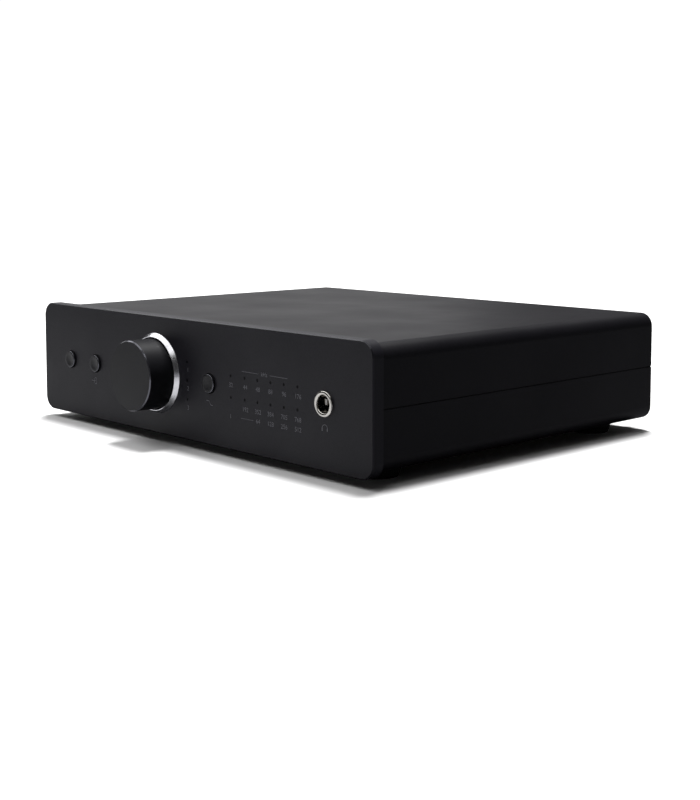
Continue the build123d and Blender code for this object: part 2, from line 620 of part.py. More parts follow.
def main_electronics():
    save("main_board", main_board())
    save("board_standoffs", group([standoff(x, y) for x, y in STANDOFFS]))
    board_screw = pan_screw(4.8)
    screws = [Pos(x, y, BOARD_TOP) * board_screw for x, y in STANDOFFS]
    screws += [Pos(x, BOARD_BACK, z) * FACING_BACK * board_screw for x, z in FRONT_BOARD_SCREWS]
    save("circuit_board_screws", group(screws))
    cans = [can(-80 + 16 * i, 8, 6.3, 22) for i in range(4)] + [can(-80 + 12 * i, -12, 5, 16) for i in range(6)]
    cans += [can(x, y, 4, 12) for x in (36, 52, 68, 84) for y in (4, -12)]
    save("electrolytic_capacitors", group(cans))
    films = [on_board(34 + 11 * i, 50, 7.2, 4.5, 8.5) for i in range(5)]
    films += [on_board(36 + 12 * i, 16, 7.2, 4.5, 8.5) for i in range(5)]
    save("film_capacitors", group(films))
    save("integrated_circuits", integrated_circuits())
    save("output_relays", group([on_board(x, 62, 9, 14, 5.0) for x in (20, 36)]))
    save("regulator_heatsink", heatsink())
    headers = [block(-70.5, -49.5, BOARD_BACK, -61.4, 24, 29), block(-70.5, -49.5, -49.8, -44.2, BOARD_TOP, 19)]
    save("ribbon_headers", group(headers))
    save("ribbon_cable", ribbon_cable())


def main():
    os.makedirs("parts", exist_ok=True)
    enclosure()
    volume_control()
    push_buttons()
    front_electronics()
    headphone()
    rear_sockets()
    main_electronics()


main()
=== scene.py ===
import math
import bpy
from mathutils import Matrix, Vector


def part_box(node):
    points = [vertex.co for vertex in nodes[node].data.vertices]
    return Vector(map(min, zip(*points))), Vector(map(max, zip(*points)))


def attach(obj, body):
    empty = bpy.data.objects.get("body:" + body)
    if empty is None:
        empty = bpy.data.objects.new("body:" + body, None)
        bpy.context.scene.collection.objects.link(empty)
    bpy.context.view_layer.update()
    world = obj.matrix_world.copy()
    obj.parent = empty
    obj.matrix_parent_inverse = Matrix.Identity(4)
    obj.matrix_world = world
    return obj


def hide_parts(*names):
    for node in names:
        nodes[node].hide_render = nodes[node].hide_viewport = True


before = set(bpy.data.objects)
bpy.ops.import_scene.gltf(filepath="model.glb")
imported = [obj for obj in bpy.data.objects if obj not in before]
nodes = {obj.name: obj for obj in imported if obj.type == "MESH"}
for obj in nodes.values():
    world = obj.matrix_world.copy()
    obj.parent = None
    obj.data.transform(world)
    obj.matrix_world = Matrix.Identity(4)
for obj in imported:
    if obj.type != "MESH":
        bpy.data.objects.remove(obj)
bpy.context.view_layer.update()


# Camera. It stands to the right of the unit and looks down on it a little, so the front,
# the top and the right side show.
lens_data = bpy.data.cameras.new("viewpoint")
lens_data.lens = 58.84
lens_data.shift_y = -0.125
lens_data.clip_start = 0.01
viewpoint = bpy.data.objects.new("viewpoint", lens_data)
viewpoint.location = (0.4217, -0.3902, 0.1034)
viewpoint.rotation_euler = (math.radians(90 - 4.85), 0, 0.8146)
bpy.context.collection.objects.link(viewpoint)
bpy.context.scene.camera = viewpoint
bpy.context.scene.view_settings.view_transform = "Standard"


# Studio. A white sweep under the unit, a soft key high at the back left, a large soft lamp
# above, a panel on the left that grazes the cover, a weak fill low in front, and a white card
# on the floor that only shows in the glossy parts of the front.
def hex_rgb(text):
    """A colour written as sRGB hex, turned linear."""
    parts = [int(text[i:i + 2], 16) / 255 for i in (1, 3, 5)]
    return [c / 12.92 if c <= 0.04045 else ((c + 0.055) / 1.055) ** 2.4 for c in parts] + [1.0]


def add(tree, kind, inputs=None, **settings):
    """Adds one shader node with its settings, and sets or links its inputs."""
    node = tree.nodes.new("ShaderNode" + kind)
    for name, value in settings.items():
        setattr(node, name, value)
    for name, value in (inputs or {}).items():
        if isinstance(value, bpy.types.NodeSocket):
            tree.links.new(value, node.inputs[name])
        else:
            node.inputs[name].default_value = value
    return node


def deselect():
    bpy.ops.object.select_all(action="DESELECT")


deselect()
bpy.ops.mesh.primitive_circle_add(vertices=128, radius=4.0, fill_type="NGON", location=(0, 0, 0))
sweep = bpy.context.object
sweep.name = "sweep"
white_sweep = bpy.data.materials.new("matt_white_sweep_paper")
white_sweep.use_nodes = True
tree = white_sweep.node_tree
tree.nodes.clear()
seen = add(tree, "LightPath")
lit = add(tree, "BsdfDiffuse", {"Color": (0.93, 0.93, 0.93, 1)})
dim = add(tree, "BsdfDiffuse", {"Color": (0.13, 0.13, 0.14, 1)})
both = add(tree, "MixShader", {0: seen.outputs["Is Camera Ray"], 1: dim.outputs[0], 2: lit.outputs[0]})
add(tree, "OutputMaterial", {"Surface": both.outputs[0]})
sweep.data.materials.append(white_sweep)

deselect()
bpy.ops.mesh.primitive_plane_add(size=1, location=(-0.27, -0.295, 0.0005))
bounce_card = bpy.context.object
bounce_card.name = "bounce_card"
bounce_card.scale = (0.74, 0.41, 1)
bounce_card.visible_camera = bounce_card.visible_shadow = bounce_card.visible_diffuse = False
white_card = bpy.data.materials.new("matt_white_card")
white_card.use_nodes = True
tree = white_card.node_tree
tree.nodes.clear()
board = add(tree, "BsdfDiffuse", {"Color": (0.42, 0.42, 0.43, 1)})
add(tree, "OutputMaterial", {"Surface": board.outputs[0]})
bounce_card.data.materials.append(white_card)

studio = bpy.data.worlds.new("studio")
studio.use_nodes = True
tree = studio.node_tree
tree.nodes.clear()
seen = add(tree, "LightPath")
backdrop = add(tree, "Background", {"Color": (1, 1, 1, 1), "Strength": 1.05})
room = add(tree, "Background", {"Color": (1, 1, 1, 1), "Strength": 0.018})
both = add(tree, "MixShader", {0: seen.outputs["Is Camera Ray"], 1: room.outputs[0], 2: backdrop.outputs[0]})
add(tree, "OutputWorld", {"Surface": both.outputs[0]})
bpy.context.scene.world = studio

sun_data = bpy.data.lights.new("key", "SUN")
sun_data.energy = 4.7
sun_data.angle = math.radians(15)
sun = bpy.data.objects.new("key", sun_data)
sun.rotation_euler = Vector((-0.20, 0.30, 1.40)).to_track_quat("Z", "Y").to_euler()
bpy.context.collection.objects.link(sun)
for name, place, aim, width, height, watts in (
        ("overhead", (-0.35, -0.38, 1.20), (0, 0, 0), 0.9, 0.9, 3.6),
        ("left_panel", (-1.45, 0.55, 0.40), (0, 0, 0.05), 1.8, 0.70, 2.8),
        ("upper_left", (-1.00, -0.10, 0.98), (0, 0, 0.03), 0.7, 0.7, 3.8),
        ("upper_front", (0.30, -0.66, 1.10), (0, 0, 0.03), 0.7, 0.7, 2.2),
        ("front_fill", (0.12, -1.60, 0.26), (0, 0, 0.03), 1.4, 0.5, 0.95)):
    lamp_data = bpy.data.lights.new(name, "AREA")
    lamp_data.shape = "RECTANGLE"
    lamp_data.size, lamp_data.size_y = width, height
    lamp_data.energy = watts
    lamp = bpy.data.objects.new(name, lamp_data)
    lamp.location = place
    lamp.rotation_euler = (Vector(place) - Vector(aim)).to_track_quat("Z", "Y").to_euler()
    lamp.visible_camera = False
    bpy.context.collection.objects.link(lamp)


# Case shells: two folded sheets of 1.5 mm steel that meet half way up, with the rear panel
# between them. Powder coated satin black, which leaves a fine orange peel.
def per_metre(size_mm):
    """The scale at which a texture's features are about this many millimetres across."""
    return 1000.0 / size_mm


def finish(name, dark, light, grain_mm, relief_mm, rough, **settings):
    """A finish with a fine grain in its colour and relief, and a gloss that drifts slowly."""
    made = bpy.data.materials.new(name)
    made.use_nodes = True
    tree = made.node_tree
    tree.nodes.clear()
    named = {key.replace("_", " "): value for key, value in settings.items()}
    shader = add(tree, "BsdfPrincipled", named)
    add(tree, "OutputMaterial", {"Surface": shader.outputs[0]})
    here = add(tree, "TexCoord")
    grain = add(tree, "TexNoise", {"Vector": here.outputs["Object"], "Scale": per_metre(grain_mm), "Detail": 3.0})
    cloud = add(tree, "TexNoise", {"Vector": here.outputs["Object"], "Scale": per_metre(40), "Detail": 3.0})
    tone = add(tree, "ValToRGB", {"Fac": grain.outputs["Fac"]})
    tone.color_ramp.elements[0].position, tone.color_ramp.elements[0].color = 0.35, hex_rgb(dark)
    tone.color_ramp.elements[1].position, tone.color_ramp.elements[1].color = 0.65, hex_rgb(light)
    gloss = add(tree, "MapRange", {"Value": cloud.outputs["Fac"], "From Min": 0.3, "From Max": 0.7,
                                   "To Min": rough[0], "To Max": rough[1]})
    skin = add(tree, "Bump", {"Height": grain.outputs["Fac"], "Strength": 0.5, "Distance": relief_mm / 1000})
    tree.links.new(tone.outputs[0], shader.inputs["Base Color"])
    tree.links.new(gloss.outputs[0], shader.inputs["Roughness"])
    tree.links.new(skin.outputs[0], shader.inputs["Normal"])
    return made, dict(tree=tree, shader=shader, here=here, tone=tone, gloss=gloss, skin=skin)


def paint(material, *names):
    for name in names:
        for piece_slot in nodes[name].material_slots:
            piece_slot.material = material


powder_coat, parts = finish("powder_coated_steel_satin_black", "#0f0e13", "#141318", 0.9, 0.02, (0.43, 0.52),
                            Specular_IOR_Level=0.24)
paint(powder_coat, "top_cover", "bottom_chassis")
panel_coat, parts = finish("powder_coated_rear_panel", "#101013", "#161619", 0.5, 0.02, (0.48, 0.56),
                           Specular_IOR_Level=0.4)
paint(panel_coat, "rear_panel")


# Feet: moulded rubber, each held by one screw in a pocket. The foot has a soft lower edge and
# two grip rings round the pocket, and rubber looks matt and a little mottled.
rubber, parts = finish("moulded_rubber_black", "#121212", "#1c1b1a", 0.8, 0.05, (0.78, 0.9))


def face_centres(mesh, test):
    """Selects, in edit mode, the faces whose centre passes the test."""
    bpy.ops.mesh.select_all(action="DESELECT")
    bpy.ops.object.mode_set(mode="OBJECT")
    for face in mesh.polygons:
        face.select = test(face.center, face.normal)
    bpy.ops.object.mode_set(mode="EDIT")


def into_place(piece, body):
    """Puts the piece's place into its mesh and lets it ride on its body."""
    deselect()
    piece.select_set(True)
    bpy.context.view_layer.objects.active = piece
    bpy.ops.object.transform_apply(location=True, rotation=True, scale=True)
    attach(piece, body)


def put_modifier(piece, kind, **settings):
    """Adds a modifier, sets it and applies it."""
    modifier = piece.modifiers.new(kind.lower(), kind)
    for name, value in settings.items():
        setattr(modifier, name, value)
    bpy.context.view_layer.objects.active = piece
    bpy.ops.object.modifier_apply(modifier=modifier.name)


for corner in ("front_left", "front_right", "rear_left", "rear_right"):
    low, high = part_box("foot_" + corner)
    middle = (low + high) / 2
    deselect()
    bpy.ops.mesh.primitive_cone_add(vertices=96, radius1=0.0078, radius2=0.0090, depth=0.0036,
                                    end_fill_type="NGON", location=(middle.x, middle.y, 0.0018))
    rubber_foot = bpy.context.object
    rubber_foot.name = "rubber_foot_" + corner
    bpy.ops.object.mode_set(mode="EDIT")
    bpy.ops.mesh.select_mode(type="FACE")
    face_centres(rubber_foot.data, lambda c, n: n.z > 0.9)
    bpy.ops.mesh.extrude_region_move(TRANSFORM_OT_translate={"value": (0, 0, 0.0014)})
    face_centres(rubber_foot.data, lambda c, n: n.z < -0.9)
    for ring_step in (0.0011, 0.0005, 0.0008):
        bpy.ops.mesh.inset(thickness=ring_step, depth=-0.0003)
        bpy.ops.mesh.inset(thickness=0.0003, depth=0.0003 if ring_step != 0.0008 else 0)
    bpy.ops.mesh.extrude_region_move(TRANSFORM_OT_translate={"value": (0, 0, 0.0029)})
    bpy.ops.mesh.delete(type="FACE")
    bpy.ops.object.mode_set(mode="OBJECT")
    put_modifier(rubber_foot, "BEVEL", width=0.00012, segments=2, limit_method="ANGLE")
    bpy.ops.object.shade_smooth_by_angle(angle=math.radians(35))
    rubber_foot.data.materials.append(rubber)
    into_place(rubber_foot, "chassis")
    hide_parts("foot_" + corner)


# Screws and small steelwork: zinc plated steel has a cool, faintly clouded shine, and the
# black screws of the case and the rear panel are oxide finished and oiled.
zinc, parts = finish("zinc_plated_steel", "#8f9398", "#b4b8bc", 1.2, 0.01, (0.28, 0.42), Metallic=1.0)
black_oxide, parts = finish("black_oxide_steel", "#1c1c1e", "#2c2c2f", 0.6, 0.01, (0.32, 0.42), Metallic=1.0)
brass, parts = finish("turned_brass", "#a8843e", "#c9a658", 0.8, 0.01, (0.25, 0.35), Metallic=1.0)
nickel, parts = finish("polished_nickel_plate", "#cfccc6", "#dedbd5", 1.5, 0.004, (0.12, 0.18), Metallic=1.0)
gold, parts = finish("gold_plated_contact", "#c9a04c", "#e2bd6c", 1.5, 0.004, (0.18, 0.26), Metallic=1.0)
paint(zinc, "front_bracket", "circuit_board_screws", "front_panel_screws", "board_standoffs", "usb_shell",
      "encoder_shaft", "headphone_contacts")
paint(black_oxide, "case_screws", "foot_screws", "rear_panel_screws", "knob_grub_screw")
paint(brass, "encoder_nut")
paint(gold, "rca_barrels", "dc_pin")


# Mouldings: glass filled nylon round the sockets, acetal for the switch plungers, and the
# insulators of the phono sockets in the colours that tell them apart.
nylon, parts = finish("glass_filled_nylon_black", "#131315", "#1b1b1d", 0.35, 0.015, (0.5, 0.6))
paint(nylon, "xlr_left_housing", "xlr_right_housing", "rca_housings", "dc_socket", "optical_1_socket",
      "optical_2_socket", "headphone_socket", "power_switch_housing", "ribbon_headers")
acetal, parts = finish("acetal_black_smooth", "#0e0e10", "#141416", 0.5, 0.005, (0.28, 0.36))
paint(acetal, "power_rocker", "optical_1_door", "optical_2_door")
for plastic, dark, light, painted in (
        ("nylon_insulator_white", "#d6d3c9", "#e4e1d8", ("line_left_insulator", "usb_insert", "standby_plunger",
                                                         "source_plunger", "filter_plunger")),
        ("nylon_insulator_red", "#9c1b16", "#b3241d", ("line_right_insulator",)),
        ("nylon_insulator_orange", "#c8560f", "#dc6a1a", ("coax_insulators",)),
        ("relay_case_dark_grey", "#2a2d33", "#34373e", ("output_relays",)),
        ("switch_body_black", "#17171a", "#202024", ("tact_switches",))):
    moulded, parts = finish(plastic, dark, light, 0.6, 0.008, (0.38, 0.48))
    paint(moulded, *painted)
diecast, parts = finish("encoder_body_diecast", "#6e7074", "#8a8c90", 0.5, 0.03, (0.4, 0.5), Metallic=1.0)
paint(diecast, "encoder_body")


# Pins of the balanced outputs: turned brass with a domed tip, gold plated, six of the same.
# The three pins of a socket stand on one circle about its axis.
mid_z = 0.02775
pin_circle_r, pin_r, pin_length, pin_mid_y = 0.0049, 0.0012, 0.018, 0.077
domed_pins = []
for socket_x in (0.056, 0.084):
    for angle in (150, 30, 270):
        across = socket_x + pin_circle_r * math.cos(math.radians(angle))
        up = mid_z + pin_circle_r * math.sin(math.radians(angle))
        deselect()
        bpy.ops.mesh.primitive_cylinder_add(vertices=40, radius=pin_r, depth=pin_length,
                                            location=(across, pin_mid_y, up), rotation=(math.pi / 2, 0, 0))
        pin = bpy.context.object
        bpy.ops.object.transform_apply(location=True, rotation=True, scale=True)
        bpy.ops.object.mode_set(mode="EDIT")
        bpy.ops.mesh.select_mode(type="FACE")
        face_centres(pin.data, lambda c, n: n.y > 0.9)
        bpy.ops.mesh.bevel(offset=0.00085, segments=5, affect="EDGES")
        bpy.ops.object.mode_set(mode="OBJECT")
        bpy.ops.object.shade_smooth_by_angle(angle=math.radians(40))
        domed_pins.append(pin)


def join_pieces(name, pieces, material, body):
    """Joins like pieces into one with one finish, riding on a body."""
    deselect()
    for one in pieces:
        one.select_set(True)
    bpy.context.view_layer.objects.active = pieces[0]
    if len(pieces) > 1:
        bpy.ops.object.join()
    joined = bpy.context.object
    joined.name = name
    joined.data.materials.clear()
    joined.data.materials.append(material)
    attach(joined, body)
    return joined


gold_pins = join_pieces("balanced_output_pins", domed_pins, gold, "chassis")
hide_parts("xlr_pins")


# Contacts on the tongue of the data socket: four pressed strips, two above and two below.
# They are stamped from thin sheet with rounded edges.
strip_size, data_socket_x, strip_mid_y = (0.0009, 0.0068, 0.0003), 0.0015, 0.0812
strips = []
for along, level in ((-0.0010, 0.0207), (0.0010, 0.0207), (-0.0010, 0.0173), (0.0010, 0.0173)):
    deselect()
    bpy.ops.mesh.primitive_cube_add(size=1, location=(data_socket_x + along, strip_mid_y, level),
                                    scale=strip_size)
    strip = bpy.context.object
    bpy.ops.object.transform_apply(location=True, rotation=True, scale=True)
    put_modifier(strip, "BEVEL", width=0.0001, segments=2)
    strips.append(strip)
join_pieces("data_socket_contacts", strips, gold, "chassis")


# Seam strips: a thin black strip in the seam at each side, set back from the face. It is a dark piece put in as
# painted shade for the inside of the seam, so the backdrop does not show through it. Its edges are only a little
# soft.
shade_strip_width, shade_strip_height, shade_strip_front, shade_strip_set_in = 0.0012, 0.00046, 0.0778, 0.0009
case_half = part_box("bottom_chassis")[1].x
case_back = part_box("bottom_chassis")[1].y
shade_strips = []
for side in (-1, 1):
    deselect()
    bpy.ops.mesh.primitive_cube_add(size=1, location=(side * (case_half - shade_strip_set_in),
                                                      (case_back - shade_strip_front) / 2, mid_z),
                                    scale=(shade_strip_width, case_back + shade_strip_front - 0.0002, shade_strip_height))
    shade_strip = bpy.context.object
    bpy.ops.object.transform_apply(location=True, rotation=True, scale=True)
    put_modifier(shade_strip, "BEVEL", width=0.00005, segments=2)
    shade_strips.append(shade_strip)
# Painted shade: dark strips that fill the seam where the real case has only shade.
join_pieces("seam_shade_strips", shade_strips, rubber, "chassis")


# Circuit boards: glass epoxy under a green solder mask. The tracks show as paler lines under
# the mask, and the plated holes as small gold dots.
board_mask, parts = finish("circuit_board_green_mask", "#0b3319", "#0e3b1e", 0.4, 0.006, (0.28, 0.38))
tree, shader = parts["tree"], parts["shader"]
turned = add(tree, "Mapping", {"Vector": parts["here"].outputs["Object"], "Rotation": (0, 0, math.radians(45))})
tracks = add(tree, "TexBrick", {"Vector": turned.outputs[0], "Scale": per_metre(6), "Mortar Size": 0.05,
                                "Mortar Smooth": 0.2, "Brick Width": 1.6, "Row Height": 0.3,
                                "Color1": (0, 0, 0, 1), "Color2": (0, 0, 0, 1), "Mortar": (1, 1, 1, 1)})
zones = add(tree, "TexNoise", {"Vector": parts["here"].outputs["Object"], "Scale": per_metre(14), "Detail": 1.0})
where = add(tree, "Math", {0: zones.outputs["Fac"], 1: 0.47}, operation="GREATER_THAN")
drawn = add(tree, "Math", {0: tracks.outputs["Fac"], 1: where.outputs[0]}, operation="MULTIPLY")
over_copper = add(tree, "MixRGB", {"Fac": drawn.outputs[0], "Color1": parts["tone"].outputs[0],
                                   "Color2": hex_rgb("#1c6a38")})
spots = add(tree, "TexVoronoi", {"Vector": parts["here"].outputs["Object"], "Scale": per_metre(3.4),
                                 "Randomness": 0.6})
vias = add(tree, "Math", {0: spots.outputs["Distance"], 1: 0.13}, operation="LESS_THAN")
coloured = add(tree, "MixRGB", {"Fac": vias.outputs[0], "Color1": over_copper.outputs[0],
                                "Color2": hex_rgb("#c8a050")})
tree.links.new(coloured.outputs[0], shader.inputs["Base Color"])
tree.links.new(vias.outputs[0], shader.inputs["Metallic"])
raised = add(tree, "Bump", {"Height": drawn.outputs[0], "Strength": 0.5, "Distance": 0.00004,
                            "Normal": parts["skin"].outputs[0]})
tree.links.new(raised.outputs[0], shader.inputs["Normal"])
paint(board_mask, "main_board", "front_board")


# Parts on the boards: capacitor cans in a printed sleeve with a bare rolled top, red film
# capacitors dipped in epoxy, moulded chips, light diodes and a black finned heatsink.
sleeve, parts = finish("capacitor_sleeve_black", "#15171d", "#1b1e26", 0.5, 0.004, (0.3, 0.4))
tree, shader = parts["tree"], parts["shader"]
aspect = add(tree, "SeparateXYZ", {"Vector": parts["here"].outputs["Normal"]})
stripe = add(tree, "Math", {0: aspect.outputs["X"], 1: 0.93}, operation="GREATER_THAN")
bare = add(tree, "Math", {0: aspect.outputs["Z"], 1: 0.7}, operation="GREATER_THAN")
marked = add(tree, "MixRGB", {"Fac": stripe.outputs[0], "Color1": parts["tone"].outputs[0],
                              "Color2": hex_rgb("#a9a58f")})
topped = add(tree, "MixRGB", {"Fac": bare.outputs[0], "Color1": marked.outputs[0], "Color2": hex_rgb("#b9bbbe")})
tree.links.new(topped.outputs[0], shader.inputs["Base Color"])
tree.links.new(bare.outputs[0], shader.inputs["Metallic"])
paint(sleeve, "electrolytic_capacitors")
for component, dark, light, grain_mm, rough, painted in (
        ("film_capacitor_epoxy_red", "#7d1d14", "#962a1e", 0.7, (0.25, 0.35), "film_capacitors"),
        ("chip_moulding_compound", "#1a1a1c", "#242427", 0.25, (0.5, 0.62), "integrated_circuits"),
        ("light_diode_phosphor", "#d8cf9a", "#e9e2bb", 0.4, (0.3, 0.4), "status_leds"),
        ("heatsink_black_anodised_extrusion", "#161619", "#202024", 0.3, (0.4, 0.5), "regulator_heatsink")):
    made, parts = finish(component, dark, light, grain_mm, 0.01, rough)
    paint(made, painted)


# Legs of the larger chips: tinned copper strips bent down to the board, modelled once and
# repeated along each side at the pitch of the package.
tinned, parts = finish("tinned_copper_dull", "#8f9295", "#adb0b3", 0.4, 0.01, (0.3, 0.45), Metallic=1.0)
board_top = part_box("main_board")[1].z


def chip_leg(x, y, turn, count, pitch):
    """A row of bent legs at one side of a chip. The row runs across the turned X direction."""
    deselect()
    bpy.ops.mesh.primitive_plane_add(size=1, location=(0, 0.0001, 0.0006))
    leg = bpy.context.object
    leg.scale = (0.0003, 0.0005, 1)
    bpy.ops.object.transform_apply(location=True, rotation=True, scale=True)
    bpy.ops.object.mode_set(mode="EDIT")
    bpy.ops.mesh.select_mode(type="EDGE")
    bpy.ops.mesh.select_all(action="DESELECT")
    bpy.ops.object.mode_set(mode="OBJECT")
    for edge in leg.data.edges:
        ends = [leg.data.vertices[v].co.y for v in edge.vertices]
        edge.select = min(ends) > 0.0003
    bpy.ops.object.mode_set(mode="EDIT")
    bpy.ops.mesh.extrude_region_move(TRANSFORM_OT_translate={"value": (0, 0.0002, -0.00048)})
    bpy.ops.mesh.extrude_region_move(TRANSFORM_OT_translate={"value": (0, 0.0005, 0)})
    bpy.ops.mesh.select_all(action="SELECT")
    bpy.ops.mesh.normals_make_consistent(inside=False)
    bpy.ops.object.mode_set(mode="OBJECT")
    put_modifier(leg, "SOLIDIFY", thickness=0.00012, offset=0)
    put_modifier(leg, "ARRAY", count=count, use_relative_offset=False, use_constant_offset=True,
                 constant_offset_displace=(pitch, 0, 0))
    shift = Matrix.Translation((-pitch * (count - 1) / 2, 0, 0))
    leg.matrix_world = Matrix.Translation((x, y, board_top)) @ Matrix.Rotation(turn, 4, "Z") @ shift
    bpy.ops.object.transform_apply(location=True, rotation=True, scale=True)
    return leg


LEG_PITCH = 0.00075
legs = []
for chip_x, chip_y, side, count in ((44, 28, 9, 11), (72, 28, 9, 11), (-4, 4, 14, 18), (2, 46, 12, 15)):
    for turn in range(4):
        direction = Vector((0, 1, 0))
        direction.rotate(Matrix.Rotation(turn * math.pi / 2, 3, "Z"))
        reach = side / 2000 - 0.0001
        legs.append(chip_leg(chip_x / 1000 + direction.x * reach, chip_y / 1000 + direction.y * reach,
                             turn * math.pi / 2, count, LEG_PITCH))
join_pieces("chip_legs", legs, tinned, "chassis")


# Chip resistors and ceramic capacitors: rows of small fired blocks with tinned ends, soldered
# beside the chips they serve.
ceramic, parts = finish("fired_ceramic_tan", "#8a745a", "#a08a6c", 0.3, 0.004, (0.4, 0.5))


def chip_row(x, y, count, pitch, width, height, length):
    """A row along X of small blocks, rounded by their firing."""
    deselect()
    bpy.ops.mesh.primitive_cube_add(size=1, location=(x / 1000, y / 1000, board_top + height / 2000),
                                    scale=(width / 1000, length / 1000, height / 1000))
    block = bpy.context.object
    bpy.ops.object.transform_apply(location=True, rotation=True, scale=True)
    put_modifier(block, "BEVEL", width=0.00012, segments=2)
    put_modifier(block, "ARRAY", count=count, use_relative_offset=False, use_constant_offset=True,
                 constant_offset_displace=(pitch / 1000, 0, 0))
    return block


ROWS = ((30, -24, 12, 4.0), (30, -30, 12, 4.0), (-40, -30, 10, 3.6), (-20, 16, 6, 2.6), (-14, 60, 9, 3.0),
        (34, 36.5, 13, 4.2), (-50, 66, 8, 3.2))
join_pieces("small_ceramic_parts", [chip_row(x, y, n, p, 1.2, 0.7, 1.2) for x, y, n, p in ROWS], ceramic,
            "chassis")
ends = []
for x, y, n, p in ROWS:
    ends += [chip_row(x, y + side, n, p, 1.3, 0.75, 0.5) for side in (-0.85, 0.85)]
join_pieces("small_part_solder_ends", ends, tinned, "chassis")


# Flat cable: grey vinyl moulded round conductors 1.27 mm apart, with a red stripe along the
# first conductor. The ribs catch the light.
cable, parts = finish("flat_cable_vinyl_grey", "#8b8c8e", "#9b9c9e", 0.8, 0.005, (0.35, 0.45))
tree, shader = parts["tree"], parts["shader"]
ribs = add(tree, "TexWave", {"Vector": parts["here"].outputs["Object"], "Scale": per_metre(1.27) / 10 * 0.5,
                             "Distortion": 0.0}, wave_type="BANDS", bands_direction="X", wave_profile="SIN")
across = add(tree, "SeparateXYZ", {"Vector": parts["here"].outputs["Object"]})
first_wire = add(tree, "Math", {0: across.outputs["X"], 1: -0.0684}, operation="LESS_THAN")
striped = add(tree, "MixRGB", {"Fac": first_wire.outputs[0], "Color1": parts["tone"].outputs[0],
                               "Color2": hex_rgb("#a3231c")})
ribbed = add(tree, "Bump", {"Height": ribs.outputs["Fac"], "Strength": 0.8, "Distance": 0.0003,
                            "Normal": parts["skin"].outputs[0]})
tree.links.new(striped.outputs[0], shader.inputs["Base Color"])
tree.links.new(ribbed.outputs[0], shader.inputs["Normal"])
paint(cable, "ribbon_cable")


# Light guide: smoked polycarbonate, so the pins look like dark dots until a light is on.
smoked, parts = finish("smoked_polycarbonate", "#020203", "#040405", 1.0, 0.002, (0.3, 0.4), IOR=1.58,
                       Specular_IOR_Level=0.1)
paint(smoked, "light_guide")


# Front plate and button caps: aluminium, bead blasted and anodised black. It is a shade
# greyer than the coated case, with a fine sparkle from the beads.
def cut_chamfers(parts, colour, metal):
    """Chamfers cut after the blasting stay smooth, so the slopes of a front part shine more."""
    tree, shader = parts["tree"], parts["shader"]
    aspect = add(tree, "SeparateXYZ", {"Vector": parts["here"].outputs["Normal"]})
    slope = add(tree, "Math", {0: aspect.outputs["Y"], 1: -0.64, 2: 0.34}, operation="COMPARE")
    bright = add(tree, "MixRGB", {"Fac": slope.outputs[0], "Color1": parts["tone"].outputs[0],
                                  "Color2": hex_rgb(colour)})
    smooth = add(tree, "Math", {0: slope.outputs[0], 1: -0.22, 2: parts["gloss"].outputs[0]},
                 operation="MULTIPLY_ADD")
    tree.links.new(bright.outputs[0], shader.inputs["Base Color"])
    tree.links.new(smooth.outputs[0], shader.inputs["Roughness"])
    bared = add(tree, "Math", {0: slope.outputs[0], 1: metal}, operation="MULTIPLY")
    tree.links.new(bared.outputs[0], shader.inputs["Metallic"])


anodised, parts = finish("bead_blasted_black_anodised_aluminium", "#19181e", "#222128", 0.28, 0.014, (0.42, 0.5),
                         Specular_IOR_Level=0.3)
cut_chamfers(parts, "#2f2f34", 0.4)
paint(anodised, "front_panel")
cap_anodised, parts = finish("turned_cap_black_anodised_aluminium", "#151518", "#1f1f23", 0.25, 0.01, (0.36, 0.42),
                             Specular_IOR_Level=0.35)
cut_chamfers(parts, "#6c6c73", 0.9)


# Push button caps: each is turned with a shallow dish in its face, a rounded rim, the collar that
# keeps it behind the plate, and the stem that reaches the switch.
def lathe(name, x, z, profile, segments=96):
    """Turns a profile of (radius, y) in millimetres about a front-to-back axis."""
    radius, y = profile[0]
    deselect()
    bpy.ops.mesh.primitive_circle_add(vertices=segments, radius=radius / 1000, fill_type="NOTHING",
                                      location=(x / 1000, y / 1000, z / 1000), rotation=(math.pi / 2, 0, 0))
    piece = bpy.context.object
    piece.name = name
    bpy.ops.object.transform_apply(location=True, rotation=True, scale=True)
    bpy.ops.object.mode_set(mode="EDIT")
    bpy.ops.mesh.select_mode(type="EDGE")
    bpy.ops.mesh.select_all(action="SELECT")
    for next_radius, next_y in profile[1:]:
        bpy.ops.mesh.extrude_region_move(TRANSFORM_OT_translate={"value": (0, (next_y - y) / 1000, 0)})
        bpy.ops.transform.resize(value=(next_radius / radius, 1, next_radius / radius),
                                 center_override=(x / 1000, next_y / 1000, z / 1000))
        radius, y = next_radius, next_y
    bpy.ops.mesh.select_all(action="SELECT")
    bpy.ops.mesh.remove_doubles(threshold=0.000001)
    bpy.ops.mesh.fill_holes(sides=0)
    bpy.ops.mesh.select_all(action="SELECT")
    bpy.ops.mesh.normals_make_consistent(inside=False)
    bpy.ops.object.mode_set(mode="OBJECT")
    bpy.ops.object.shade_smooth_by_angle(angle=math.radians(35))
    return piece


